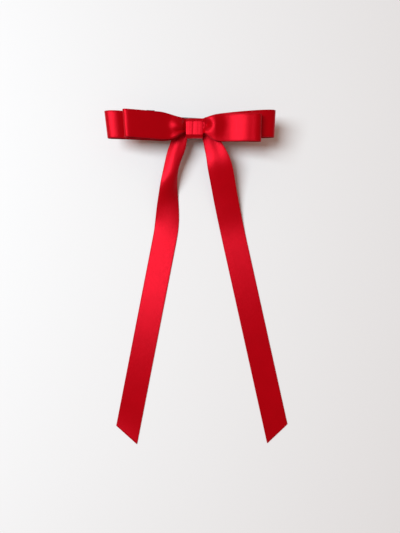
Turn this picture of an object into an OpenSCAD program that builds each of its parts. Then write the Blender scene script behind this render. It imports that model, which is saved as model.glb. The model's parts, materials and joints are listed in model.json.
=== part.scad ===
// Two-tier ribbon bow with long tails on a sprung hair clip.
// Millimetres. X runs along the clip, +Y towards the top of the bow, +Z up from the face it rests on.
// The origin is the middle of the closing arm's flat underside.

/* [Ribbon] */
// Width of the ribbon
ribbon_w = 15; // [12:0.5:18]
// Thickness of the ribbon solids
ribbon_t = 0.4; // [0.3:0.05:0.45]
// Width of the outer loop where the knot gathers it
gather_w = 9.4; // [8:0.1:11]
// How much narrower the inner loop is gathered
gather_step = 1.8; // [1.6:0.1:2.4]

/* [Loops] */
// Reach of the outer loop to the left of the knot
outer_left = 52.5; // [42:0.5:64]
// Reach of the outer loop to the right of the knot
outer_right = 47.9; // [40:0.1:60]
// Reach of the inner loop to the left of the knot
inner_left = 40.3; // [32:0.1:50]
// Reach of the inner loop to the right of the knot
inner_right = 39.1; // [32:0.1:50]
// Height of the open space in the outer loop
outer_open = 4.4; // [3.5:0.1:6]
// Height of the open space in the inner loop
inner_open = 4.6; // [3.5:0.1:6]
// How far the outer loop's ends ride up from the knot
outer_rise = 2.2; // [0:0.1:4]
// How far the inner loop's ends ride up from the knot
inner_rise = 0.4; // [0:0.1:2]
// Turn of the inner loop in the bow's plane, in degrees
inner_turn = -2; // [-4:0.5:4]
// Slant of the left-hand folds, across the ribbon
fold_slant = 0.09; // [0:0.01:0.2]

/* [Knot] */
// Length of the centre wrap along the bow
wrap_len = 10.1; // [8:0.1:12]
// Thickness of the centre wrap
wrap_t = 0.5; // [0.4:0.05:0.7]
// Corner radius of the centre wrap
wrap_r = 2.2; // [1.5:0.1:2.6]
// Thickness of the gather thread's turns
thread_t = 0.35; // [0.2:0.05:0.5]
// Length of the gather thread's turns along the bow
thread_len = 3; // [2:0.5:6]
// Gap between neighbouring layers in the knot
layer_gap = 0.2; // [0.15:0.05:0.3]
// Knot centre along the clip
knot_x = 2.2; // [-3:0.05:3]
// Knot centre across the clip
knot_y = -2.9; // [-3.4:0.1:0]
// Lean of the bow on the clip, in degrees
bow_lean = 10; // [6:1:12]
// Least thickness of the glue under the knot
glue_t = 0.25; // [0.2:0.05:0.5]

/* [Tails] */
// Length of each tail from its bend to its point
tail_len = 188.5; // [150:1:220]
// How far a tail's cut end slants along its length
tail_cut = 9; // [4:0.5:14]
// Width of each tail at its bend, below the loops
bend_w = 11; // [9:0.5:13]
// How far the tails' bends lie from the knot, towards the tails
bend_drop = 11.6; // [11:0.1:14]
// How far the left tail's bend lies to the left of the knot
left_bend = 11; // [9:0.5:13]
// How far the right tail's bend lies to the right of the knot
right_bend = 12; // [9:0.5:13]
// How far along the tail the ribbon reaches the table
landing = 58; // [50:1:70]
// Angle of the left tail from straight down on its way to the table, in degrees
left_fall = 9.3; // [4:0.1:20]
// Angle of the right tail from straight down on its way to the table, in degrees
right_fall = 13.6; // [4:0.1:20]
// Angle of the left tail from straight down on the table, in degrees
left_splay = 11; // [4:0.5:20]
// Angle of the right tail from straight down on the table, in degrees
right_splay = 12.5; // [4:0.5:20]
// Greatest roll of the left tail about its length, in degrees
left_roll = 40; // [0:5:50]
// Gap between the gathered ribbon and each free tail
tail_gap = 0.4; // [0.3:0.05:0.5]

/* [Clip] */
// Length of the clip's plate
clip_len = 60; // [50:1:72]
// Width of the clip's plate
plate_w = 8.8; // [8:0.1:10]
// Thickness of the plate
plate_t = 0.8; // [0.6:0.1:1]
// Height of the plate's top at its middle
plate_top = 11.2; // [10.4:0.1:13]
// Rise of the plate's arch
arch_rise = 3.2; // [2.5:0.1:3.8]
// Turn of the clip under the bow, in degrees
clip_turn = -3; // [-5:0.5:5]
// Radius of the sewing holes
sew_r = 0.8; // [0.6:0.1:1.2]
// Distance of each sewing hole from the middle
sew_x = 19; // [16:0.5:20]

/* [Hinge] */
// Radius of the hinge pin
pin_r = 0.8; // [0.6:0.05:1]
// Running clearance round the hinge pin
pin_clear = 0.05; // [0.02:0.01:0.1]
// Radius of the arm's knuckle, which rests on the table
knuckle_r = 1.9; // [1.7:0.05:2.3]
// Thickness of each ear
ear_t = 0.8; // [0.6:0.1:1]
// Side gap between the arm and each ear
ear_gap = 0.3; // [0.2:0.05:0.4]
// Inset of the pin from the plate's end
pin_inset = 2; // [1.8:0.1:2.6]

/* [Arm] */
// Width of the closing arm
arm_w = 5; // [4:0.1:5.4]
// Thickness of the closing arm
arm_t = 0.9; // [0.7:0.1:1.1]
// Length of the arm's raised head
head_len = 7; // [6:0.5:8]
// Height of the raised head over the arm's underside
head_lift = 1; // [0.9:0.1:1.3]
// Length of the tension spring
leaf_len = 30; // [24:1:34]
// Rise of the tension spring
leaf_rise = 3.4; // [2.5:0.1:3.6]
// Thickness of the tension spring
leaf_t = 0.35; // [0.25:0.05:0.5]
// Clearance round the spring's tongues in the arm's slots
slot_clear = 0.15; // [0.1:0.05:0.25]

/* [Catch] */
// Length of the catch along the clip
catch_len = 7; // [6:0.5:8]
// Distance of the rivet from the plate's end
rivet_inset = 4.5; // [4:0.1:5]
// Radius of the rivet
rivet_r = 0.9; // [0.7:0.1:1.1]
// Length of each squeeze jaw along the clip
jaw_len = 5; // [4:0.1:6]
// Thickness of the jaws' sheet
jaw_t = 0.5; // [0.4:0.05:0.6]
// Height of the jaws' bend lines
jaw_z = 6; // [5.6:0.1:6.2]
// Reach of each squeeze tab from the clip's middle
tab_reach = 8.8; // [7.5:0.1:10]
// Rise of each squeeze tab above its bend line
tab_rise = 2.4; // [2:0.1:3]
// Overlap of each hooked lip under the arm's head
lip_catch = 0.6; // [0.4:0.1:0.8]

/* [Hidden] */
$fn = 48;
fit = 0.02;

// Layers of the knot, as heights over the bow's seat
pitch = ribbon_t + layer_gap;
tails_s = wrap_t + thread_t + 2 * layer_gap + ribbon_t / 2;
outer_low_s = tails_s + pitch;
outer_high_s = outer_low_s + pitch;
inner_low_s = outer_high_s + pitch;
inner_high_s = inner_low_s + pitch;
thread_low = wrap_t + layer_gap;
thread_high = inner_high_s + ribbon_t / 2 + layer_gap + thread_t;
wrap_high = thread_high + layer_gap + wrap_t;
wrap_in_w = gather_w + 2 * (layer_gap + thread_t + layer_gap);
wrap_w = wrap_in_w + 2 * wrap_t;
wrap_half = wrap_len / 2;
spread_x = 12;
rise_x = 18;

// Seat of the bow over the plate
glue_front = -plate_w / 2 + 0.3;
glue_back = knot_y + wrap_w / 2 - wrap_r - 0.4;
seat_z = plate_top + fit + glue_t + (knot_y - glue_front) * tan(bow_lean);

// Clip
half_len = clip_len / 2;
arch_r = (half_len * half_len + arch_rise * arch_rise) / (2 * arch_rise);
arch_z = plate_top - arch_r;
pin_x = half_len - pin_inset;
pin_z = knuckle_r;
ear_y = arm_w / 2 + ear_gap;
catch_x = -half_len + rivet_inset;
head_x = catch_x - head_len / 2;
leaf_x = 2;
leaf_r = (leaf_len * leaf_len / 4 + leaf_rise * leaf_rise) / (2 * leaf_rise);
jaw_y = arm_w / 2 + 1;
wall_out = jaw_y - jaw_t - 0.1;
channel_top = jaw_z + 0.9;

// Smooth step from 0 to 1
function ease(u) = let (c = max(0, min(1, u))) c * c * (3 - 2 * c);
function unit(v) = v / norm(v);
function bezier(p, u) = pow(1 - u, 3) * p[0] + 3 * pow(1 - u, 2) * u * p[1]
    + 3 * (1 - u) * u * u * p[2] + pow(u, 3) * p[3];

// A point of the leaning bow: along it, across its ribbon, and up its stack of layers
function bow_point(x, w, s) = [knot_x + x,
    knot_y + w * cos(bow_lean) - s * sin(bow_lean),
    seat_z + w * sin(bow_lean) + s * cos(bow_lean)];

// One loop ring: [x, s] at a place from 0 to 4, right low, right high, left high, left low
function ring_side(p) = p < 2 ? 1 : -1;
function ring_part(p) = let (q = p < 2 ? p : p - 2) 1 - pow(1 - (q < 1 ? q : 2 - q), 2);
function ring_up(p) = (p >= 1 && p < 3) ? 1 : -1;
function ring_point(p, left, right, low, gap) = let (
    reach = ring_side(p) > 0 ? right : left,
    x = reach * ring_part(p),
    open = pitch + (gap + ribbon_t - pitch) * ease((x - wrap_half) / rise_x),
    close = sqrt(max(0, 1 - pow(x / reach, 6))),
    middle = low(x) + open / 2)
    [ring_side(p) * x, middle + ring_up(p) * open / 2 * close];
function ring_half(x, pinch) = (pinch + (ribbon_w - pinch) * ease((x - wrap_half) / spread_x)) / 2;

// Four corners of the ribbon at one place of a ring
function ring_row(p, left, right, low, gap, rise, turn, pinch) = let (
    here = ring_point(p, left, right, low, gap),
    next = ring_point((p + 0.02) % 4, left, right, low, gap),
    last = ring_point((p + 3.98) % 4, left, right, low, gap),
    along = unit(next - last),
    x = here[0],
    share = abs(x) / (x > 0 ? right : left),
    shift = rise * ease(share) + x * tan(turn) * ease(share * 2),
    half = ring_half(abs(x), pinch),
    lean = x < 0 ? -fold_slant * pow(share, 3) : 0,
    off = [-along[1], along[0]] * ribbon_t / 2)
    [for (c = [[-1, -1], [1, -1], [1, 1], [-1, 1]])
        bow_point(x + lean * c[0] * half + c[1] * off[0], shift + c[0] * half, here[1] + c[1] * off[1])];

// A ribbon through rows of four corners, closed into a ring or capped at both ends
module ribbon(rows, ring) {
    n = len(rows);
    last = ring ? n : n - 1;
    sides = [for (i = [0 : last - 1], k = [0 : 3], half = [0, 1]) let (
        a = 4 * i,
        b = 4 * ((i + 1) % n),
        m = (k + 1) % 4)
        half == 0 ? [a + k, b + k, b + m] : [a + k, b + m, a + m]];
    caps = ring ? [] : [[0, 1, 2, 3], [4 * n - 1, 4 * n - 2, 4 * n - 3, 4 * n - 4]];
    polyhedron(points = [for (row = rows, corner = row) corner], faces = concat(sides, caps), convexity = 6);
}

outer_base = function (x) outer_low_s;
inner_base = function (x) inner_low_s + (outer_open + layer_gap) * ease((x - wrap_half) / rise_x);
ring_steps = 60;

module outer_loop() {
    color("crimson") ribbon([for (i = [0 : ring_steps - 1])
        ring_row(4 * i / ring_steps, outer_left, outer_right, outer_base, outer_open,
            outer_rise, 0, gather_w)], true);
}

module inner_loop() {
    color("crimson") ribbon([for (i = [0 : ring_steps - 1])
        ring_row(4 * i / ring_steps, inner_left, inner_right, inner_base, inner_open,
            inner_rise, inner_turn, gather_w - gather_step)], true);
}

// Corners of a ribbon at a point, with its run, its upward side, its width and a slant of the row
function tail_row(at, run, up, width, cut) = let (
    across = unit(cross(up, run)),
    top = cross(run, across))
    [for (c = [[-1, -1], [1, -1], [1, 1], [-1, 1]])
        at + c[0] * across * width / 2 + c[1] * top * ribbon_t / 2 + c[0] * cut / 2 * run];

// Route of the ribbon from the knot to the bend of one tail, side -1 for the left and 1 for the right
function bend_at(side) = bow_point(side > 0 ? right_bend : -left_bend, -bend_drop, tails_s);
function bend_run(side) = unit(bow_point(side * 0.38, -0.92, 0) - bow_point(0, 0, 0));
function gather_route(side) = [bow_point(0, 0, tails_s), bow_point(side * 9.5, 0, tails_s),
    bend_at(side) - 6 * bend_run(side), bend_at(side) - tail_gap * bend_run(side)];
function gather_row(side, u) = let (
    route = gather_route(side),
    at = bezier(route, u),
    run = unit(bezier(route, min(1, u + 0.01)) - bezier(route, max(0, u - 0.01))),
    up = bow_point(0, 0, 1) - bow_point(0, 0, 0),
    width = 6 + (bend_w - 6) * ease((u - 0.45) / 0.55))
    tail_row(at, side * run, up, width, 0);

module tail_gather() {
    steps = 12;
    color("firebrick") ribbon(concat([for (i = [steps : -1 : 1]) gather_row(-1, i / steps)],
        [for (i = [1 : steps]) gather_row(1, i / steps)]), false);
}

// Free tail: down from its bend to the table, then straight to its cut end
function tail_run(angle) = [sin(angle), -cos(angle), 0];
function tail_route(side, fall, angle) = let (
    bend = bend_at(side),
    land = [bend[0], bend[1], ribbon_t / 2] + (landing - 1) * tail_run(fall))
    [bend, bend + 18 * bend_run(side), land - 22 * tail_run(angle), land];

module free_tail(side, fall, angle, roll) {
    steps = 24;
    route = tail_route(side, fall, angle);
    up = [0, 0, 1];
    bend_up = bow_point(0, 0, 1) - bow_point(0, 0, 0);
    drop = [for (i = [0 : steps]) let (
        u = i / steps,
        at = bezier(route, u),
        run = unit(bezier(route, min(1, u + 0.01)) - bezier(route, max(0, u - 0.01))),
        flat = bend_up * (1 - u) + up * u,
        turn = roll * ease(u / 0.25) * ease((1 - u) / 0.75),
        side_way = unit(cross(run, flat)))
        tail_row(at, run, flat * cos(turn) - side_way * sin(turn),
            bend_w + (ribbon_w - bend_w) * ease(u / 0.2), 0)];
    end = route[3] + (tail_len - landing - tail_cut / 2) * tail_run(angle);
    color("crimson") ribbon(concat(drop, [tail_row(end, tail_run(angle), up, ribbon_w, -side * tail_cut)]),
        false);
}

module left_tail() {
    free_tail(-1, -left_fall, -left_splay, left_roll);
}

module right_tail() {
    free_tail(1, right_fall, right_splay, 0);
}

// Outline with round corners, its low edge on the axis
module rounded(width, low, high, r) {
    translate([-width / 2 + r, low]) square([width - 2 * r, high - low]);
    translate([-width / 2, low + r]) square([width, high - low - 2 * r]);
    for (x = [-1, 1], y = [low + r, high - r]) translate([x * (width / 2 - r), y]) circle(r = r);
}

// A band round the gathered ribbons, its length along the bow
module band(length, width, low, high, wall, r) {
    translate(bow_point(0, 0, 0)) rotate([bow_lean, 0, 0]) rotate([90, 0, 90])
        linear_extrude(height = length, center = true) difference() {
            rounded(width, low, high, r);
            rounded(width - 2 * wall, low + wall, high - wall, r - wall);
        }
}

module centre_wrap() {
    color("red") band(wrap_len, wrap_w, 0, wrap_high, wrap_t, wrap_r);
}

module cinch_thread() {
    color("darkred") band(thread_len, gather_w + 2 * (layer_gap + thread_t), thread_low, thread_high,
        thread_t, wrap_r - wrap_t - layer_gap);
}

module glue_pad() {
    top_at = function (y) seat_z + (y - knot_y) * tan(bow_lean) - fit;
    low = plate_top + fit;
    color("gainsboro") translate([knot_x, 0, 0]) rotate([90, 0, 90])
        linear_extrude(height = wrap_len - 2, center = true)
            polygon([[glue_front, low], [glue_back, low], [glue_back, top_at(glue_back)],
                [glue_front, top_at(glue_front)]]);
}

// Everything of the clip turns together under the bow
module on_clip() {
    rotate([0, 0, clip_turn]) children();
}

// Upright slab from its outline along the clip, centred on the clip
module slab(width) {
    rotate([90, 0, 0]) linear_extrude(height = width, center = true) children();
}

module base_plate() {
    color("dimgray") on_clip() difference() {
        union() {
            intersection() {
                slab(plate_w) difference() {
                    translate([0, arch_z]) circle(r = arch_r, $fn = 720);
                    translate([0, arch_z]) circle(r = arch_r - plate_t, $fn = 720);
                }
                union() {
                    translate([0, 0, plate_top / 2])
                        cube([clip_len - plate_w, plate_w, 2 * plate_top], center = true);
                    for (x = [-1, 1]) translate([x * (half_len - plate_w / 2), 0, 0])
                        cylinder(r = plate_w / 2, h = 2 * plate_top);
                }
            }
            for (y = [-1, 1]) translate([0, y * (ear_y + ear_t / 2), 0]) slab(ear_t) {
                translate([pin_x, pin_z]) circle(r = pin_r + 0.8);
                translate([pin_x - pin_r - 0.8, pin_z])
                    square([2 * pin_r + 1.6, plate_top - arch_rise - plate_t / 2 - pin_z]);
            }
        }
        translate([pin_x, 0, pin_z]) rotate([90, 0, 0]) cylinder(r = pin_r + fit, h = plate_w, center = true);
        for (x = [-sew_x, sew_x]) translate([x, 0, 0]) cylinder(r = sew_r, h = 2 * plate_top);
        translate([catch_x, 0, 0]) cylinder(r = rivet_r + fit, h = 2 * plate_top);
    }
}

module hinge_pin() {
    reach = ear_y + ear_t;
    color("silver") on_clip() translate([pin_x, 0, pin_z]) rotate([90, 0, 0]) {
        cylinder(r = pin_r, h = 2 * reach + 0.4, center = true);
        for (z = [-1, 1]) translate([0, 0, z * (reach + fit + 0.2)])
            cylinder(r = pin_r + 0.45, h = 0.4, center = true);
    }
}

module closing_arm() {
    color("dimgray") on_clip() difference() {
        slab(arm_w) {
            translate([pin_x, pin_z]) circle(r = knuckle_r);
            translate([head_x + head_len, 0]) square([pin_x - head_x - head_len, arm_t]);
            translate([head_x, head_lift]) square([head_len, arm_t]);
            translate([head_x + head_len - arm_t, 0]) square([arm_t, head_lift + arm_t]);
        }
        translate([pin_x, 0, pin_z]) rotate([90, 0, 0])
            cylinder(r = pin_r + pin_clear, h = arm_w + 1, center = true);
        for (x = [-1, 1]) translate([leaf_x + x * leaf_len / 2, 0, arm_t / 2])
            cube([1 + 2 * slot_clear, arm_w - 2 + 2 * slot_clear, 2 * arm_t], center = true);
    }
}

module tension_spring() {
    low = arm_t + 0.05;
    color("slategray") on_clip() {
        intersection() {
            slab(arm_w - 1) translate([leaf_x, low + leaf_rise - leaf_r]) difference() {
                circle(r = leaf_r, $fn = 720);
                circle(r = leaf_r - leaf_t, $fn = 720);
            }
            translate([leaf_x, 0, low + leaf_rise]) cube([leaf_len, arm_w, 2 * leaf_rise], center = true);
        }
        for (x = [-1, 1]) translate([leaf_x + x * (leaf_len / 2), 0, arm_t / 2 + 0.2])
            cube([1, arm_w - 2, arm_t], center = true);
    }
}

module catch_base() {
    color("dimgray") on_clip() difference() {
        intersection() {
            slab(2 * wall_out) translate([0, arch_z]) circle(r = arch_r - plate_t - 3 * fit, $fn = 720);
            translate([catch_x, 0, jaw_z + 2]) cube([catch_len, 2 * wall_out, 5], center = true);
        }
        translate([catch_x, 0, channel_top - 5])
            cube([catch_len + 1, 2 * (wall_out - jaw_t), 10], center = true);
        translate([catch_x, 0, 0]) cylinder(r = rivet_r + fit, h = 2 * plate_top);
    }
}

module catch_rivet() {
    low = channel_top - fit;
    inner_x = abs(catch_x) - rivet_r - 0.6;
    high = plate_top - (arch_r - sqrt(arch_r * arch_r - inner_x * inner_x)) + fit;
    color("silver") on_clip() translate([catch_x, 0, 0]) {
        translate([0, 0, low - 0.5]) cylinder(r = rivet_r, h = high - low + 1);
        translate([0, 0, low - 0.5]) cylinder(r = rivet_r + 0.5, h = 0.5);
        translate([0, 0, high]) cylinder(r = rivet_r + 0.6, h = 0.5);
    }
}

// One squeeze jaw: hooked lip below, bend line at its top, tab flared out beside the plate
module catch_jaw(side) {
    lip_top = head_lift - 0.25;
    tab_angle = atan2(tab_rise, tab_reach - jaw_y);
    tab_len = norm([tab_reach - jaw_y, tab_rise]);
    color("dimgray") on_clip() mirror([0, side > 0 ? 0 : 1, 0]) translate([catch_x - jaw_len / 2, 0, 0])
        rotate([90, 0, 90]) linear_extrude(height = jaw_len) {
            translate([jaw_y, jaw_z]) circle(r = jaw_t);
            translate([jaw_y, lip_top - jaw_t]) square([jaw_t, jaw_z - lip_top + jaw_t]);
            translate([arm_w / 2 - lip_catch, lip_top - jaw_t])
                square([jaw_y - arm_w / 2 + lip_catch + jaw_t, jaw_t]);
            translate([jaw_y, jaw_z]) rotate(tab_angle) translate([0, -jaw_t / 2]) square([tab_len, jaw_t]);
        }
}

module catch_jaw_front() {
    catch_jaw(-1);
}

module catch_jaw_rear() {
    catch_jaw(1);
}

outer_loop();
inner_loop();
tail_gather();
left_tail();
right_tail();
centre_wrap();
cinch_thread();
glue_pad();
base_plate();
hinge_pin();
closing_arm();
tension_spring();
catch_base();
catch_rivet();
catch_jaw_front();
catch_jaw_rear();
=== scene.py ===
import json
import math
import bmesh
import bpy
import numpy as np
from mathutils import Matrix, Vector


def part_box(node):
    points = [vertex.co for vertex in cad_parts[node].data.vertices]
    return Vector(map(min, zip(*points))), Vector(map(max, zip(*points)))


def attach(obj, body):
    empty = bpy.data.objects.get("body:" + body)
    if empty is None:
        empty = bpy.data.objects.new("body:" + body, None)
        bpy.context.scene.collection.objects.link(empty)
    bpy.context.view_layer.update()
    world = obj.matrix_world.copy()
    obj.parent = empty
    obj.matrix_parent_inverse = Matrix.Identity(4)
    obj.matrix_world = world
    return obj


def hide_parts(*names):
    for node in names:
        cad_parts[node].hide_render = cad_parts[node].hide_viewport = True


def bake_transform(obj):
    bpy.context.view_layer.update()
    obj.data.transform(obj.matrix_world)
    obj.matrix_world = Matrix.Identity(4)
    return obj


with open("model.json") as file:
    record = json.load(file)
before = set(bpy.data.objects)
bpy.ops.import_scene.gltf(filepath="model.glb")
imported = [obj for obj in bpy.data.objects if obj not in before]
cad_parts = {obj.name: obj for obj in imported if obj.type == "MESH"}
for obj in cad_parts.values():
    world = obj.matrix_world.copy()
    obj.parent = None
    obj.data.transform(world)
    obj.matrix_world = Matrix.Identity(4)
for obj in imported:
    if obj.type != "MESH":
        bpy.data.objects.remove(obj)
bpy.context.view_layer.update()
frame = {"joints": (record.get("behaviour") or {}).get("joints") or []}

mm = 0.001
scene = bpy.context.scene

# where the bow lies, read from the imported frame
bowLay = {"lean": math.radians(10), "seatBelowCentre": 2.65}
wrapLow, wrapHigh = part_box("centre_wrap")
knotCentre = [(a + b) / 2 / mm for a, b in zip(wrapLow, wrapHigh)]  # millimetres from here on
leanSin, leanCos = math.sin(bowLay["lean"]), math.cos(bowLay["lean"])
seat = (knotCentre[0],
        knotCentre[1] + bowLay["seatBelowCentre"] * leanSin,
        knotCentre[2] - bowLay["seatBelowCentre"] * leanCos)


def bowPoint(x, w, s):  # along the bow, across its ribbon, up its stack
    return np.stack([seat[0] + x + 0 * w,
                     seat[1] + w * leanCos - s * leanSin,
                     seat[2] + w * leanSin + s * leanCos], axis=-1)


def ease(u):
    u = np.clip(u, 0, 1)
    return u * u * (3 - 2 * u)


def bump(u):  # 1 at 0 and almost 0 from 1 on, both ways
    return np.exp(-4 * np.square(u))


def mound(u, at, half):  # 1 at its place, falling off over its half width
    return np.exp(-((u - at) / half) ** 2)


def soften(values, reach):  # running mean with the ends held
    count = 2 * reach + 1
    return np.convolve(np.pad(values, reach, mode="edge"), np.ones(count) / count, mode="valid")


def smoothPath(points, count, closed=False):  # Catmull-Rom through given points, evenly spaced
    p = np.array(points, float)
    n = len(p)
    if closed:
        p = np.vstack([p[-1], p, p[0], p[1]])
        spans = n
    else:
        p = np.vstack([2 * p[0] - p[1], p, 2 * p[-1] - p[-2]])
        spans = n - 1
    steps = 24
    u = np.linspace(0, 1, steps, endpoint=False)[:, None]
    fine = []
    for i in range(spans):
        a, b, c, d = p[i:i + 4]
        fine.append(0.5 * (2 * b + (c - a) * u + (2 * a - 5 * b + 4 * c - d) * u ** 2
                           + (3 * b - a - 3 * c + d) * u ** 3))
    fine = np.vstack(fine + [p[1:2] if closed else p[-2:-1]])
    run = np.concatenate([[0], np.cumsum(np.linalg.norm(np.diff(fine, axis=0), axis=1))])
    at = np.linspace(0, run[-1], count, endpoint=not closed)
    return np.stack([np.interp(at, run, fine[:, k]) for k in range(p.shape[1])], axis=1), run[-1]


def stripObject(name, grid, along, across, closed=False):  # grid[row, column] of points, uv in millimetres
    rows, cols = grid.shape[:2]
    last = rows if closed else rows - 1
    faces, uvs = [], []
    for i in range(last):
        j = (i + 1) % rows
        rowEnd = along[j] if j else along[-1] + (along[1] - along[0])
        for k in range(cols - 1):
            faces.append((i * cols + k, i * cols + k + 1, j * cols + k + 1, j * cols + k))
            uvs.append([(across[k], along[i]), (across[k + 1], along[i]),
                        (across[k + 1], rowEnd), (across[k], rowEnd)])
    mesh = bpy.data.meshes.new(name)
    mesh.from_pydata([tuple(v) for v in grid.reshape(-1, 3) * mm], [], faces)
    mesh.uv_layers.new(name="ribbonUv").data.foreach_set("uv", np.array(uvs).ravel())
    mesh.validate()
    mesh.shade_smooth()
    obj = bpy.data.objects.new(name, mesh)
    scene.collection.objects.link(obj)
    return obj


def thicken(obj, thickness):
    wall = obj.modifiers.new("wall", "SOLIDIFY")
    wall.thickness = thickness * mm
    wall.offset = 0.0
    wall.use_even_offset = True
    bpy.context.view_layer.update()
    mesh = bpy.data.meshes.new_from_object(obj.evaluated_get(bpy.context.evaluated_depsgraph_get()))
    obj.modifiers.clear()
    obj.data = mesh


def geometryTree(name, inputs):
    tree = bpy.data.node_groups.new(name, "GeometryNodeTree")
    tree.interface.new_socket("Geometry", in_out="INPUT", socket_type="NodeSocketGeometry")
    for label, kind, value in inputs:
        socket = tree.interface.new_socket(label, in_out="INPUT", socket_type=kind)
        if value is not None:
            socket.default_value = value
    tree.interface.new_socket("Geometry", in_out="OUTPUT", socket_type="NodeSocketGeometry")
    return tree, tree.nodes.new("NodeGroupInput"), tree.nodes.new("NodeGroupOutput")


def threadAlong(tree, inp, out, curve):  # a round, slightly uneven thread laid along a curve
    nodes, links = tree.nodes, tree.links
    uneven = nodes.new("FunctionNodeRandomValue")
    uneven.inputs["Seed"].default_value = 7
    thinnest, thickest = uneven.inputs[2], uneven.inputs[3]
    thinnest.default_value, thickest.default_value = 0.88, 1.1
    radius = nodes.new("GeometryNodeSetCurveRadius")
    links.new(curve, radius.inputs["Curve"])
    links.new(uneven.outputs[1], radius.inputs["Radius"])
    section = nodes.new("GeometryNodeCurvePrimitiveCircle")
    links.new(inp.outputs["Thread Sides"], section.inputs["Resolution"])
    links.new(inp.outputs["Thread Radius"], section.inputs["Radius"])
    tube = nodes.new("GeometryNodeCurveToMesh")
    links.new(radius.outputs[0], tube.inputs["Curve"])
    links.new(section.outputs[0], tube.inputs["Profile Curve"])
    tube.inputs["Fill Caps"].default_value = True
    shaded = nodes.new("GeometryNodeSetShadeSmooth")
    links.new(tube.outputs[0], shaded.inputs["Geometry"])
    real = nodes.new("GeometryNodeRealizeInstances")
    links.new(shaded.outputs[0], real.inputs["Geometry"])
    painted = nodes.new("GeometryNodeSetMaterial")
    links.new(real.outputs[0], painted.inputs["Geometry"])
    links.new(inp.outputs["Material"], painted.inputs["Material"])
    links.new(painted.outputs[0], out.inputs[0])


def edgeThreadTree():  # a thread round every free edge of a ribbon
    tree, inp, out = geometryTree("edgeThread", [
        ("Thread Radius", "NodeSocketFloat", 0.0002), ("Thread Sides", "NodeSocketInt", 6),
        ("Material", "NodeSocketMaterial", None)])
    nodes, links = tree.nodes, tree.links
    neighbours = nodes.new("GeometryNodeInputMeshEdgeNeighbors")
    free = nodes.new("FunctionNodeCompare")
    free.data_type = "INT"
    free.operation = "EQUAL"
    links.new(neighbours.outputs[0], free.inputs[2])
    free.inputs[3].default_value = 1
    line = nodes.new("GeometryNodeMeshToCurve")
    links.new(inp.outputs["Geometry"], line.inputs["Mesh"])
    links.new(free.outputs[0], line.inputs["Selection"])
    threadAlong(tree, inp, out, line.outputs[0])
    return tree


def threadTurnsTree():  # thread wound round a flat bundle
    tree, inp, out = geometryTree("threadTurns", [
        ("Turns", "NodeSocketFloat", 8.0), ("Length", "NodeSocketFloat", 0.003),
        ("Half Size", "NodeSocketVector", (5.0, 2.0, 1.0)),
        ("Thread Radius", "NodeSocketFloat", 0.00017), ("Thread Sides", "NodeSocketInt", 8),
        ("Material", "NodeSocketMaterial", None)])
    nodes, links = tree.nodes, tree.links
    spiral = nodes.new("GeometryNodeCurveSpiral")
    spiral.inputs["Resolution"].default_value = 40
    spiral.inputs["Start Radius"].default_value = 0.001
    spiral.inputs["End Radius"].default_value = 0.001
    links.new(inp.outputs["Turns"], spiral.inputs["Rotations"])
    links.new(inp.outputs["Length"], spiral.inputs["Height"])
    oval = nodes.new("GeometryNodeTransform")
    links.new(spiral.outputs[0], oval.inputs["Geometry"])
    links.new(inp.outputs["Half Size"], oval.inputs["Scale"])
    threadAlong(tree, inp, out, oval.outputs[0])
    return tree


def growFrom(base, tree, values):  # runs a tree on a copy of base and gives back the plain mesh
    mesh = base.data.copy() if base else bpy.data.meshes.new(tree.name)
    copy = bpy.data.objects.new(tree.name + "Copy", mesh)
    scene.collection.objects.link(copy)
    modifier = copy.modifiers.new("grow", "NODES")
    modifier.node_group = tree
    for item in tree.interface.items_tree:
        if item.in_out == "INPUT" and item.name in values:
            modifier[item.identifier] = values[item.name]
    bpy.context.view_layer.update()
    mesh = bpy.data.meshes.new_from_object(copy.evaluated_get(bpy.context.evaluated_depsgraph_get()))
    bpy.data.objects.remove(copy)
    return mesh


def mergeIn(obj, mesh):  # adds mesh to obj as its second finish
    mesh.polygons.foreach_set("material_index", [1] * len(mesh.polygons))
    both = bmesh.new()
    both.from_mesh(obj.data)
    both.from_mesh(mesh)
    both.to_mesh(obj.data)
    both.free()


edgeThread = edgeThreadTree()
threadTurns = threadTurnsTree()


def newGroup(name, inputs, outputs):
    group = bpy.data.node_groups.new(name, "ShaderNodeTree")
    for label, kind, value in inputs:
        socket = group.interface.new_socket(label, in_out="INPUT", socket_type=kind)
        socket.default_value = value
    for label, kind in outputs:
        group.interface.new_socket(label, in_out="OUTPUT", socket_type=kind)
    return group, group.nodes.new("NodeGroupInput"), group.nodes.new("NodeGroupOutput")


def mathNode(group, operation, a, b=None):
    node = group.nodes.new("ShaderNodeMath")
    node.operation = operation
    for index, value in enumerate((a, b)):
        if isinstance(value, (int, float)):
            node.inputs[index].default_value = value
        elif value is not None:
            group.links.new(value, node.inputs[index])
    return node.outputs[0]


def rangeNode(group, value, low, high, smooth=False):  # 0 at low, 1 at high
    node = group.nodes.new("ShaderNodeMapRange")
    if smooth:
        node.interpolation_type = "SMOOTHSTEP"
    node.inputs["From Min"].default_value = low
    node.inputs["From Max"].default_value = high
    group.links.new(value, node.inputs["Value"])
    return node.outputs[0]


def noiseNode(group, place, scale, detail):
    node = group.nodes.new("ShaderNodeTexNoise")
    node.inputs["Scale"].default_value = scale
    node.inputs["Detail"].default_value = detail
    group.links.new(place, node.inputs["Vector"])
    return node.outputs[0]


def mixNode(group, share, first, second):
    node = group.nodes.new("ShaderNodeMix")
    node.data_type = "RGBA"
    for index, source in ((0, share), (6, first), (7, second)):
        group.links.new(source, node.inputs[index])
    return node.outputs[2]


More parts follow.
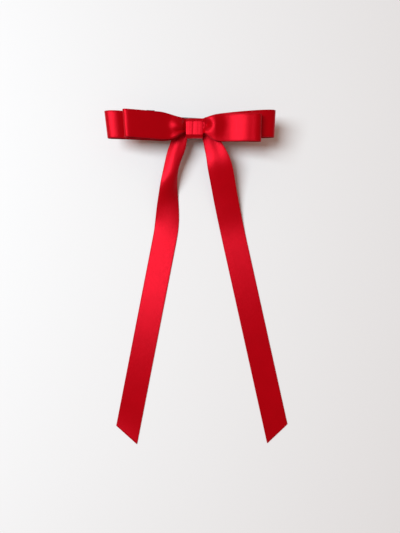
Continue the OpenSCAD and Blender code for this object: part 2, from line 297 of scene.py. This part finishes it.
weave = {  # in millimetres, then strengths
    "warp": 0.14, "weft": 0.42, "skew": 0.6, "edgeFrom": 0.885, "edgeTo": 0.925,
    "slubAcross": 7.0, "slubAlong": 0.35, "cloudScale": 0.11,
    "slubTone": 0.35, "cloudTone": 0.35, "paintedGrooveShade": 1.4, "edgeTone": 0.12, "slubRough": 0.12, "edgeRough": 0.06,
    "warpHeight": 0.3, "weftHeight": 0.2, "slubHeight": 0.8, "grooveDepth": 6.0}


def satinWeaveGroup():  # woven satin: floats along the ribbon, firm selvedges, uneven dye, and painted shade in the groove beside each selvedge
    group, inp, out = newGroup("satinWeave", [
        ("Face", "NodeSocketColor", (0.6, 0, 0.01, 1)),
        ("Deep", "NodeSocketColor", (0.3, 0, 0.005, 1)),
        ("Half Width", "NodeSocketFloat", 7.5),
        ("Thread Scale", "NodeSocketFloat", 1.0),
        ("Roughness", "NodeSocketFloat", 0.35),
    ], [("Color", "NodeSocketColor"), ("Roughness", "NodeSocketFloat"), ("Height", "NodeSocketFloat")])
    nodes, links = group.nodes, group.links

    def times(a, b):
        return mathNode(group, "MULTIPLY", a, b)

    def plus(a, b):
        return mathNode(group, "ADD", a, b)

    uv = nodes.new("ShaderNodeUVMap")
    uv.uv_map = "ribbonUv"
    split = nodes.new("ShaderNodeSeparateXYZ")
    links.new(uv.outputs[0], split.inputs[0])
    across, along = split.outputs[0], split.outputs[1]
    spread = nodes.new("ShaderNodeCombineXYZ")  # noise drawn out along the floats
    links.new(times(across, weave["slubAcross"]), spread.inputs[0])
    links.new(times(along, weave["slubAlong"]), spread.inputs[1])
    slub = noiseNode(group, spread.outputs[0], 1.0, 3.0)
    cloud = noiseNode(group, uv.outputs[0], weave["cloudScale"], 2.0)
    scaled = times(across, inp.outputs["Thread Scale"])
    warp = mathNode(group, "SINE", times(scaled, 2 * math.pi / weave["warp"]))
    stepped = plus(along, times(across, weave["skew"]))
    weft = mathNode(group, "SINE", times(stepped, 2 * math.pi / weave["weft"]))
    reach = mathNode(group, "DIVIDE", mathNode(group, "ABSOLUTE", across), inp.outputs["Half Width"])
    edge = rangeNode(group, reach, weave["edgeFrom"], weave["edgeTo"], smooth=True)
    groove = times(edge, mathNode(group, "SUBTRACT", 1.0, edge))
    tone = plus(times(slub, weave["slubTone"]), times(cloud, weave["cloudTone"]))
    # painted shade: the groove just inside each selvedge is darkened in colour, on top of its bump
    tone = plus(tone, times(groove, weave["paintedGrooveShade"]))
    tone = plus(tone, times(edge, weave["edgeTone"]))
    shade = rangeNode(group, tone, 0.2, 1.0)
    links.new(mixNode(group, shade, inp.outputs["Face"], inp.outputs["Deep"]), out.inputs["Color"])
    uneven = times(mathNode(group, "SUBTRACT", slub, 0.5), weave["slubRough"])
    rough = plus(inp.outputs["Roughness"], uneven)
    rough = plus(rough, times(edge, weave["edgeRough"]))
    links.new(rough, out.inputs["Roughness"])
    height = plus(times(warp, weave["warpHeight"]), times(weft, weave["weftHeight"]))
    height = plus(height, times(slub, weave["slubHeight"]))
    height = mathNode(group, "SUBTRACT", height, times(groove, weave["grooveDepth"]))
    links.new(height, out.inputs["Height"])
    return group


wear = {"coarse": 320.0, "grain": 2600.0, "bareFrom": 0.66, "bareTo": 0.74, "corners": 1.2, "grainRough": 0.16,
        "paintDepth": 0.5}


def edgeWearGroup():  # lacquer rubbed thin on handled places, fine dust in it
    group, inp, out = newGroup("edgeWear", [
        ("Paint", "NodeSocketColor", (0.02, 0.02, 0.02, 1)),
        ("Metal", "NodeSocketColor", (0.3, 0.3, 0.3, 1)),
        ("Amount", "NodeSocketFloat", 0.3),
        ("Roughness", "NodeSocketFloat", 0.35),
    ], [("Color", "NodeSocketColor"), ("Roughness", "NodeSocketFloat"), ("Height", "NodeSocketFloat")])
    nodes, links = group.nodes, group.links
    place = nodes.new("ShaderNodeTexCoord").outputs["Object"]
    coarse = noiseNode(group, place, wear["coarse"], 4.0)
    grain = noiseNode(group, place, wear["grain"], 2.0)
    pointed = nodes.new("ShaderNodeNewGeometry").outputs["Pointiness"]
    lifted = mathNode(group, "MULTIPLY", mathNode(group, "SUBTRACT", pointed, 0.5), wear["corners"])
    bare = rangeNode(group, mathNode(group, "ADD", coarse, lifted), wear["bareFrom"], wear["bareTo"])
    share = mathNode(group, "MULTIPLY", bare, inp.outputs["Amount"])
    links.new(mixNode(group, share, inp.outputs["Paint"], inp.outputs["Metal"]), out.inputs["Color"])
    uneven = mathNode(group, "MULTIPLY", grain, wear["grainRough"])
    links.new(mathNode(group, "ADD", inp.outputs["Roughness"], uneven), out.inputs["Roughness"])
    dip = mathNode(group, "MULTIPLY", bare, -wear["paintDepth"])
    links.new(mathNode(group, "ADD", grain, dip), out.inputs["Height"])
    return group


satinWeave = satinWeaveGroup()
edgeWear = edgeWearGroup()


def groupMaterial(name, group, values, bumpDepth, **fixed):
    material = bpy.data.materials.new(name)
    material.use_nodes = True
    nodes, links = material.node_tree.nodes, material.node_tree.links
    shader = nodes["Principled BSDF"]
    look = nodes.new("ShaderNodeGroup")
    look.node_tree = group
    for label, value in values.items():
        look.inputs[label].default_value = value
    links.new(look.outputs["Color"], shader.inputs["Base Color"])
    links.new(look.outputs["Roughness"], shader.inputs["Roughness"])
    relief = nodes.new("ShaderNodeBump")
    relief.inputs["Strength"].default_value = 1.0
    relief.inputs["Distance"].default_value = bumpDepth * mm
    links.new(look.outputs["Height"], relief.inputs["Height"])
    links.new(relief.outputs[0], shader.inputs["Normal"])
    for label, value in fixed.items():
        shader.inputs[label.replace("_", " ")].default_value = value
    return material


satinLook = {"face": (0.5, 0.0, 0.004, 1), "deep": (0.35, 0.0, 0.001, 1), "roughness": 0.38,
             "metallic": 0.4, "anisotropic": 0.8, "bump": 0.012, "specular": 0.3, "tint": (1.0, 0.3, 0.6, 1)}


def satinMaterial(name, halfWidth):
    values = {"Face": satinLook["face"], "Deep": satinLook["deep"], "Half Width": halfWidth,
              "Roughness": satinLook["roughness"]}
    material = groupMaterial(name, satinWeave, values, satinLook["bump"], Metallic=satinLook["metallic"],
                             Anisotropic=satinLook["anisotropic"], Specular_IOR_Level=satinLook["specular"],
                             Specular_Tint=satinLook["tint"])
    nodes, links = material.node_tree.nodes, material.node_tree.links
    tangent = nodes.new("ShaderNodeTangent")
    tangent.direction_type = "UV_MAP"
    tangent.uv_map = "ribbonUv"
    links.new(tangent.outputs[0], nodes["Principled BSDF"].inputs["Tangent"])
    return material


def wornMaterial(name, paint, metal, amount, roughness, bumpDepth, **fixed):
    values = {"Paint": (*paint, 1), "Metal": (*metal, 1), "Amount": amount, "Roughness": roughness}
    return groupMaterial(name, edgeWear, values, bumpDepth, **fixed)


ribbonSatin = satinMaterial("ribbonSatin", 7.5)
wrapSatin = satinMaterial("wrapSatin", 99.0)  # so wide that its selvedges stay out of sight
selvedgeSatin = wornMaterial("selvedgeSatin", (0.4, 0.0, 0.004), (0.6, 0.0, 0.01), 0.5, 0.4, 0.006,
                             Metallic=0.3, Specular_IOR_Level=0.25, Specular_Tint=satinLook["tint"])
threadRed = wornMaterial("threadRed", (0.32, 0.0, 0.01), (0.5, 0.02, 0.03), 0.4, 0.5, 0.01)
clipBlack = wornMaterial("clipBlack", (0.012, 0.012, 0.013), (0.28, 0.27, 0.26), 0.5, 0.28, 0.004,
                         Metallic=0.55, Coat_Weight=0.3)
springSteel = wornMaterial("springSteel", (0.16, 0.16, 0.165), (0.4, 0.4, 0.4), 0.6, 0.24, 0.004, Metallic=1.0)
pinSteel = wornMaterial("pinSteel", (0.42, 0.42, 0.43), (0.6, 0.6, 0.6), 0.5, 0.22, 0.003, Metallic=1.0)
gluePale = wornMaterial("gluePale", (0.72, 0.68, 0.56), (0.85, 0.82, 0.72), 0.5, 0.2, 0.02,
                        Subsurface_Weight=0.3, Coat_Weight=0.3)
print("materials made")


def dress(piece, material, body):
    if material:
        piece.data.materials.clear()
        piece.data.materials.append(material)
    if body:
        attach(piece, body)


ribbon = {"width": 15.0, "thickness": 0.3, "columns": 37, "crowding": 0.35, "edgeThread": 0.2}


def ribbonColumns():  # shares across the ribbon from -1 to 1, closer together near the selvedges
    u = np.linspace(-1, 1, ribbon["columns"])
    return np.sin(u * math.pi / 2) * ribbon["crowding"] + u * (1 - ribbon["crowding"])


# each list runs from the knot out along the back layer, round the end fold and home along the front
innerLoop = {
    "right": [(5.2, 3.25), (8.0, 3.7), (12.5, 5.4), (19.0, 6.6), (27.0, 7.4), (34.0, 7.9), (37.6, 8.4),
              (39.0, 9.5), (38.7, 11.0), (36.8, 11.9), (33.0, 11.65), (30.0, 11.25), (27.0, 10.4), (24.0, 9.3),
              (21.0, 8.5), (18.0, 8.1), (15.0, 7.9), (12.5, 7.6), (10.0, 6.95), (7.8, 6.35), (6.4, 5.75), (5.2, 4.7)],
    "left": [(-5.2, 3.9), (-7.4, 5.6), (-11.0, 6.5), (-14.5, 7.3), (-20.0, 9.1), (-26.0, 10.8), (-33.0, 12.5),
             (-38.2, 13.6), (-40.2, 13.2), (-40.8, 11.6), (-39.4, 9.4), (-34.0, 8.2), (-27.0, 8.3), (-19.0, 7.8),
             (-12.5, 6.1), (-8.0, 4.2), (-5.2, 3.25)],
    "back": 3.25, "front": 4.3, "turn": math.radians(-2.0), "rise": (0.0, 0.5), "slant": (0.05, 0.0), "rows": 420,
}
outerLoop = {
    "right": [(5.2, 2.0), (9.0, 2.0), (20.0, 2.0), (34.0, 1.9), (44.0, 2.3), (47.4, 3.4), (47.8, 5.0),
              (46.0, 6.6), (41.0, 7.1), (33.0, 6.9), (24.0, 6.4), (16.0, 5.0), (10.0, 3.4), (5.2, 2.65)],
    "left": [(-5.2, 2.65), (-10.0, 3.4), (-16.0, 4.8), (-24.0, 6.2), (-34.0, 6.2), (-39.5, 6.9), (-45.5, 8.1),
             (-49.6, 7.8), (-52.1, 6.3), (-52.5, 4.4), (-51.2, 3.0), (-49.0, 2.3), (-38.0, 1.9), (-20.0, 2.0),
             (-9.0, 2.0), (-5.2, 2.0)],
    "back": 2.0, "front": 2.65, "turn": 0.0, "rise": (1.7, 2.3), "slant": (0.085, 0.02), "rows": 460,
}
gather = {"half": 5.3, "leaves": 5.0, "spreadLeft": 15.0, "spreadRight": 10.0, "pleatDepth": 0.26, "pleats": 1.8,
          "pleatShift": 0.6, "pleatFrom": 4.6, "pleatGrows": 2.5, "pleatAt": 6.5, "pleatReach": 12.0}
hem = {"left": 3.0, "right": 2.4, "from": 3.0, "grows": 2.5, "fadesFrom": 5.0, "fades": 8.0}
ear = {"x": 6.2, "w": 1.2, "halfX": 5.6, "halfW": 4.6, "crest": 0.95, "inside": 0.5, "outside": 0.75,
       "height": 1.5, "from": 4.9, "grows": 1.5}
hollow = {"x": 7.4, "w": 1.7, "halfX": 1.5, "halfW": 2.0, "depth": 1.9}
swell = {"x": -9.6, "w": 1.0, "halfX": 4.6, "halfW": 4.4, "height": 1.9}
lowRoll = {"x": -9.5, "share": -0.84, "halfX": 4.0, "halfShare": 0.2, "height": 1.0}
crease = {"x": -8.5, "w": -2.2, "halfX": 3.5, "halfW": 0.7, "tilt": 0.1, "level": -8, "depth": 0.3}
frontLayer = 0.3  # how far a surface must face up the stack to count as the front


def loopHalf(x):
    spread = np.where(x < 0, gather["spreadLeft"], gather["spreadRight"])
    return gather["half"] + (ribbon["width"] / 2 - gather["half"]) * ease((np.abs(x) - gather["leaves"]) / spread)


def raisedHem(x, c):  # the lower edge is drawn up beside the wrap, where the tails come out
    away = np.abs(x)
    reach = ease((away - hem["from"]) / hem["grows"]) * (1 - ease((away - hem["fadesFrom"]) / hem["fades"]))
    return np.where(x > 0, hem["right"], hem["left"]) * np.clip(-c, 0, 1) * reach


def buildLoop(name, shape, relief=None):
    ring = [(0, shape["back"])] + shape["right"] + [(0, shape["front"])] + shape["left"]
    path, length = smoothPath(ring, shape["rows"], closed=True)
    run = np.roll(path, -1, axis=0) - np.roll(path, 1, axis=0)
    run /= np.linalg.norm(run, axis=1)[:, None]
    outX, outS = run[:, 1:2], -run[:, 0:1]  # out of the ring
    along = np.linspace(0, length, shape["rows"], endpoint=False)
    columns = ribbonColumns()
    c = columns[None, :]
    x, s = path[:, 0:1], path[:, 1:2]
    reach = [max(abs(point[0]) for point in shape[hand]) for hand in ("left", "right")]
    away = np.abs(x)
    share = away / np.where(x < 0, *reach)
    half = loopHalf(x)
    w = half * c + np.where(x < 0, *shape["rise"]) * ease(share)
    w = w + x * math.tan(shape["turn"]) * ease(share * 2)
    slant = np.where(x < 0, -shape["slant"][0], shape["slant"][1]) * share ** 3
    near = ease((away - gather["pleatFrom"]) / gather["pleatGrows"])
    near = near * bump((away - gather["pleatAt"]) / gather["pleatReach"])
    fold = gather["pleatDepth"] * near * np.sin(math.pi * gather["pleats"] * c + gather["pleatShift"])
    push = fold * np.sign(outS)
    dx = slant * half * c + outX * push
    ds = outS * push
    if relief:
        ds = ds + np.where(outS > frontLayer, relief(x, c, w), 0.0)
    grid = bowPoint(x + dx, w + raisedHem(x, c), s + ds)
    obj = stripObject(name, grid, along, columns * ribbon["width"] / 2, closed=True)
    finishRibbon(obj)
    return obj, length


def finishRibbon(obj):
    edge = growFrom(obj, edgeThread, {"Thread Radius": ribbon["edgeThread"] * mm, "Material": selvedgeSatin})
    thicken(obj, ribbon["thickness"])
    obj.data.materials.append(ribbonSatin)
    obj.data.materials.append(selvedgeSatin)
    mergeIn(obj, edge)


def patch(spot, x, w):
    return mound(x, spot["x"], spot["halfX"]) * mound(w, spot["w"], spot["halfW"])


def innerRelief(x, c, w):  # the curled ear right of the wrap; the swell, rolled edge and crease left of it
    r = np.sqrt(((x - ear["x"]) / ear["halfX"]) ** 2 + ((w - ear["w"]) / ear["halfW"]) ** 2)
    crest = mound(r, ear["crest"], np.where(r > ear["crest"], ear["outside"], ear["inside"]))
    curl = ear["height"] * crest - hollow["depth"] * patch(hollow, x, w)
    curl = curl * ease((x - ear["from"]) / ear["grows"])
    roll = mound(c, lowRoll["share"], lowRoll["halfShare"]) * mound(x, lowRoll["x"], lowRoll["halfX"])
    groove = patch(crease, x, w + crease["tilt"] * (x - crease["level"]))
    return curl + swell["height"] * patch(swell, x, w) + lowRoll["height"] * roll - crease["depth"] * groove


inner, innerLength = buildLoop("innerLoopRibbon", innerLoop, innerRelief)
outer, outerLength = buildLoop("outerLoopRibbon", outerLoop)
for piece, node, length in ((inner, "inner_loop", innerLength), (outer, "outer_loop", outerLength)):
    dress(piece, None, "bow")
    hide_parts(node)
print("loops built", round(innerLength, 1), round(outerLength, 1))

tails = {  # tilts: place along the drop, lean to the left at the left and right edges, how late the lean changes
    "left_tail": {"side": -1, "length": 191.0, "fall": -8.6, "splay": -11.0, "shift": -0.5,
                  "tilts": [(-0.4, 0, 0, 1), (-0.15, 18, -20, 1.5), (0, 28, -50, 2), (0.07, 30, -62, 2),
                            (0.15, 30, -75, 2), (0.22, 30, -85, 2), (0.28, 22, -82, 1.8), (0.4, 6, -64, 1.3),
                            (0.52, 0, -44, 1), (0.62, 0, -28, 1), (0.74, 5, -17, 1), (0.85, 6, -10, 1),
                            (0.95, 3, -4, 1), (1.05, 0, 0, 1)],
                  "widths": [(-0.3, 6.0), (0, 11.0), (0.1, 10.5), (0.28, 10.6), (0.4, 11.8), (0.52, 12.6),
                             (0.65, 13.8), (0.76, 14.6), (0.85, 15.0)],
                  "heights": [(0, 1.0), (0.1, 0.95), (0.2, 0.89), (0.28, 0.82), (0.35, 0.74), (0.45, 0.59),
                              (0.56, 0.4), (0.66, 0.25), (0.78, 0.12), (0.88, 0.05), (1.0, 0.01)]},
    "right_tail": {"side": 1, "length": 191.9, "fall": 13.6, "splay": 12.5, "shift": -0.6,
                   "tilts": [(-0.4, 0, 0, 1), (0, 8, 8, 1), (0.3, 5, 5, 1), (0.7, 0, 0, 1)],
                   "widths": [(-0.3, 6.0), (0, 11.5), (0.06, 12.6), (0.15, 14.5), (0.22, 15.0)],
                   "heights": [(0, 1.0), (0.06, 1.05), (0.1, 1.05), (0.17, 0.98), (0.3, 0.78), (0.45, 0.54),
                               (0.6, 0.32), (0.75, 0.15), (0.88, 0.04), (1, 0)]},
}
tailShape = {"cut": 9.0, "cutReach": 24, "landing": 54.0, "stack": 1.45, "halfKnot": 9.5, "bendSide": 0.38,
             "bendDown": -0.92, "bendIn": 6, "bendOut": 18, "glide": 20, "rows": 240, "lieOn": 0.05, "clear": 0.02,
             "pleat": 0.2, "pleatAt": -0.05, "pleatReach": 0.22, "pleats": 1.5, "pleatShift": 0.4,
             "blendFrom": 3, "blendTo": 16}


def tailRun(degrees):
    a = math.radians(degrees)
    return np.array([math.sin(a), -math.cos(a), 0.0])


def bezier(p, u):
    u = u[:, None]
    return (1 - u) ** 3 * p[0] + 3 * (1 - u) ** 2 * u * p[1] + 3 * (1 - u) * u * u * p[2] + u ** 3 * p[3]


def buildTail(name, body, shape):
    side = shape["side"]
    hinge = next(np.array(joint["pos_m"]) / mm for joint in frame["joints"] if joint["child"] == body)
    bendRun = bowPoint(side * tailShape["bendSide"], tailShape["bendDown"], 0) - bowPoint(0, 0, 0)
    bendRun = bendRun / np.linalg.norm(bendRun)
    table = ribbon["thickness"] / 2 + tailShape["lieOn"]
    land = np.array([hinge[0], hinge[1], table]) + tailShape["landing"] * tailRun(shape["fall"])
    endRun = tailRun(shape["splay"])
    inside = bezier([bowPoint(0, 0, tailShape["stack"]), bowPoint(side * tailShape["halfKnot"], 0, tailShape["stack"]),
                     hinge - tailShape["bendIn"] * bendRun, hinge], np.linspace(0, 1, 30))
    share = np.linspace(0, 1, 80)
    drop = bezier([hinge, hinge + tailShape["bendOut"] * bendRun, land - tailShape["glide"] * endRun, land], share)
    drop[:, 0] += shape["shift"] * np.sin(math.pi * share) ** 2
    drop[:, 2] = table + (hinge[2] - table) * np.interp(share, *zip(*shape["heights"]))
    flatLength = shape["length"] - tailShape["landing"] - tailShape["cut"] / 2
    flat = land + np.linspace(0, 1, 100)[:, None] * flatLength * endRun
    path, length = smoothPath(np.vstack([inside[:-1:3], drop[:-1:4], flat[::6]]), tailShape["rows"])
    for _ in range(2):  # the bend at the knot and the landing are soft
        path[:, 2] = soften(path[:, 2], 6)
    along = np.linspace(0, length, len(path))
    insideLength = np.linalg.norm(np.diff(inside, axis=0), axis=1).sum()
    dropLength = np.linalg.norm(np.diff(drop, axis=0), axis=1).sum()
    d = (along - insideLength) / dropLength  # 0 at the bend, 1 on the table
    run = np.gradient(path, axis=0)
    run /= np.linalg.norm(run, axis=1)[:, None]
    bowUp = bowPoint(0, 0, 1) - bowPoint(0, 0, 0)
    down = np.clip(d, 0, 1)[:, None]
    up = bowUp[None] * (1 - down) + np.array([0, 0, 1.0])[None] * down
    across = np.cross(run, up)
    across /= np.linalg.norm(across, axis=1)[:, None]
    top = np.cross(across, run)
    place, *leans = np.array(shape["tilts"]).T
    tiltLeft, tiltRight, late = [soften(np.interp(d, place, lean), 5)[:, None] for lean in leans]
    width = soften(np.interp(d, *zip(*shape["widths"])), 5)[:, None]
    c = ribbonColumns()
    fromLeft = (1 - c[::-1]) / 2
    lean = np.radians(tiltLeft + (tiltRight - tiltLeft) * fromLeft[None, :] ** late)
    middle = (lean[:, 1:] + lean[:, :-1]) / 2
    gaps = np.diff(fromLeft)[None, :] * width
    start = np.zeros_like(width)
    lateral = np.hstack([start, np.cumsum(np.cos(middle) * gaps, axis=1)])[:, ::-1]  # from the left edge
    lift = np.hstack([start, np.cumsum(np.sin(middle) * gaps, axis=1)])[:, ::-1]
    lateral -= (lateral.min(axis=1) + lateral.max(axis=1))[:, None] / 2
    lift -= lift.max(axis=1)[:, None]
    pleat = tailShape["pleat"] * mound(d, tailShape["pleatAt"], tailShape["pleatReach"])
    lift += pleat[:, None] * np.sin(math.pi * tailShape["pleats"] * c[None, :] + tailShape["pleatShift"])
    cutStart = length - tailShape["cutReach"]
    cut = np.clip((along - cutStart) / tailShape["cutReach"], 0, 1) ** 2 * tailShape["cut"] / 2
    grid = (path[:, None, :] - across[:, None, :] * lateral[..., None] + top[:, None, :] * lift[..., None]
            + run[:, None, :] * (side * cut[:, None] * c[None, :])[..., None])
    grid[..., 2] = np.maximum(grid[..., 2], ribbon["thickness"] / 2 + tailShape["clear"])
    obj = stripObject(name, grid, along, c * ribbon["width"] / 2)
    finishRibbon(obj)
    return obj, length, hinge, bendRun


for body, shape in tails.items():
    name = body.split("_")[0] + "TailRibbon"
    tail, length, hinge, bendRun = buildTail(name, body, shape)
    dress(tail, None, None)
    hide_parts(body, "tail_gather")
    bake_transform(tail)
    print(name, "built", round(length, 1))

wrapShape = {"length": 10.1, "width": 11.9, "height": 5.3, "radius": 2.3, "wall": 0.42, "thickness": 0.28,
             "deepest": 0.55, "edgeDip": 0.25, "drift": 0.18, "rows": 220, "columns": 73}
wrapPleats = [(-4.0, 0.7, 0.07), (-2.5, 0.5, 0.06), (-0.6, 0.8, 0.16), (0.9, 0.7, 0.05), (2.5, 0.6, 0.06),
              (3.9, 0.8, 0.04)]  # place along the bow, half width, depth of each crease


def buildWrap():
    w, h, r = wrapShape["width"] / 2, wrapShape["height"], wrapShape["radius"]
    outline = []
    cornerSteps = 6
    for cx, cy, start in ((w - r, h - r, 0), (-w + r, h - r, 90), (-w + r, r, 180), (w - r, r, 270)):
        for k in range(cornerSteps + 1):
            a = math.radians(start + 90 // cornerSteps * k)
            outline.append((cx + r * math.cos(a), cy + r * math.sin(a)))
    path, length = smoothPath(outline, wrapShape["rows"], closed=True)
    run = np.roll(path, -1, axis=0) - np.roll(path, 1, axis=0)
    run /= np.linalg.norm(run, axis=1)[:, None]
    normal = np.stack([run[:, 1], -run[:, 0]], axis=1)
    x = np.linspace(-1, 1, wrapShape["columns"]) * wrapShape["length"] / 2
    sink = np.zeros((len(path), len(x)))
    for index, (at, half, depth) in enumerate(wrapPleats):
        drift = at + wrapShape["drift"] * np.sin(2 * math.pi * np.arange(len(path)) / len(path) + index)
        sink += depth * mound(x[None, :], drift[:, None], half)
    sink += wrapShape["edgeDip"] * (np.abs(x[None, :]) / (wrapShape["length"] / 2)) ** 8
    sink = np.minimum(sink, wrapShape["deepest"]) + wrapShape["wall"] / 2
    px = path[:, 0:1] - normal[:, 0:1] * sink
    ps = path[:, 1:2] - normal[:, 1:2] * sink
    grid = bowPoint(x[None, :], px, ps)
    along = np.linspace(0, length, len(path), endpoint=False)
    obj = stripObject("centreWrapRibbon", grid, along, x, closed=True)
    thicken(obj, wrapShape["thickness"])
    return obj, length


wrap, wrapLength = buildWrap()
dress(wrap, wrapSatin, "bow")
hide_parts("centre_wrap")
print("wrap built", round(wrapLength, 1))

# the thread under the wrap
cinch = {"turns": 8.5, "length": 2.6, "halfAcross": 5.05, "halfUp": 1.8, "middle": 2.65, "radius": 0.17}
turns = growFrom(None, threadTurns, {
    "Turns": cinch["turns"], "Length": cinch["length"] * mm,
    "Half Size": (cinch["halfAcross"], cinch["halfUp"], 1.0),
    "Thread Radius": cinch["radius"] * mm, "Material": threadRed})
spots = np.empty(len(turns.vertices) * 3)
turns.vertices.foreach_get("co", spots)
spots = spots.reshape(-1, 3) / mm
placed = bowPoint(spots[:, 2] - cinch["length"] / 2, spots[:, 0], cinch["middle"] + spots[:, 1]) * mm
turns.vertices.foreach_set("co", placed.ravel())
cinchPiece = bpy.data.objects.new("cinchThreadTurns", turns)
scene.collection.objects.link(cinchPiece)
dress(cinchPiece, threadRed, "bow")
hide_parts("cinch_thread")
print("thread wound", len(turns.polygons))

# the clip's own parts keep their shapes and get their finishes
clipFinishes = {"base_plate": clipBlack, "closing_arm": clipBlack, "catch_base": clipBlack,
                "catch_jaw_front": clipBlack, "catch_jaw_rear": clipBlack, "tension_spring": springSteel,
                "hinge_pin": pinSteel, "catch_rivet": pinSteel, "glue_pad": gluePale}
for node, material in clipFinishes.items():
    part = bpy.data.objects[node]
    part.data.materials.clear()
    part.data.materials.append(material)
print("clip finished", len(clipFinishes))

# floor, light and camera
studio = {"viewHeight": 246.4, "viewPlace": (5.5, -86.5), "lens": 26.0, "sensor": 36.0, "nearest": 0.01,
          "floor": (0.76, 0.76, 0.765, 1), "floorReach": 0.8, "floorRough": 0.7, "floorShine": 0.1,
          "glow": (1.0, 0.68, 0.55, 1), "glowStrength": 0.38, "backdrop": (0.86, 0.86, 0.865, 1)}
cameraData = bpy.data.cameras.new("camera")
cameraData.lens = studio["lens"]
cameraData.sensor_width = studio["sensor"]
cameraData.clip_start = studio["nearest"]
camera = bpy.data.objects.new("camera", cameraData)
camera.location = (studio["viewPlace"][0] * mm, studio["viewPlace"][1] * mm, studio["viewHeight"] * mm)
scene.collection.objects.link(camera)
scene.camera = camera

floorMesh = bpy.data.meshes.new("floor")
corners = [(x * studio["floorReach"], y * studio["floorReach"], 0) for x, y in ((-1, -1), (1, -1), (1, 1), (-1, 1))]
floorMesh.from_pydata(corners, [], [(0, 1, 2, 3)])
floor = bpy.data.objects.new("floor", floorMesh)
scene.collection.objects.link(floor)
floorPaint = bpy.data.materials.new("floorPaint")
floorPaint.use_nodes = True
floorShader = floorPaint.node_tree.nodes["Principled BSDF"]
floorShader.inputs["Base Color"].default_value = studio["floor"]
floorShader.inputs["Roughness"].default_value = studio["floorRough"]
floorShader.inputs["Specular IOR Level"].default_value = studio["floorShine"]
floorMesh.materials.append(floorPaint)

world = bpy.data.worlds.new("world")
scene.world = world
world.use_nodes = True
skyNodes, skyLinks = world.node_tree.nodes, world.node_tree.links
roomGlow = skyNodes["Background"]  # warm light thrown back by the room
roomGlow.inputs["Color"].default_value = studio["glow"]
roomGlow.inputs["Strength"].default_value = studio["glowStrength"]
backdrop = skyNodes.new("ShaderNodeBackground")
backdrop.inputs["Color"].default_value = studio["backdrop"]
seen = skyNodes.new("ShaderNodeLightPath")
chosen = skyNodes.new("ShaderNodeMixShader")
skyLinks.new(seen.outputs["Is Camera Ray"], chosen.inputs[0])
skyLinks.new(roomGlow.outputs[0], chosen.inputs[1])
skyLinks.new(backdrop.outputs[0], chosen.inputs[2])
skyLinks.new(chosen.outputs[0], skyNodes["World Output"].inputs["Surface"])
scene.view_settings.view_transform = "Standard"


window = {"place": (-0.60, 0.03, 0.95), "target": (0, -0.09, 0), "size": (0.46, 0.8), "power": 14.6,
          "color": (0.88, 1.0, 1.05)}
windowData = bpy.data.lights.new("windowLight", "AREA")
windowData.shape = "RECTANGLE"
windowData.size, windowData.size_y = window["size"]
windowData.energy = window["power"]
windowData.color = window["color"]
windowLight = bpy.data.objects.new("windowLight", windowData)
windowLight.location = window["place"]
aim = Vector(window["target"]) - Vector(window["place"])
windowLight.rotation_euler = aim.to_track_quat("-Z", "Y").to_euler()
scene.collection.objects.link(windowLight)
print("studio lit")
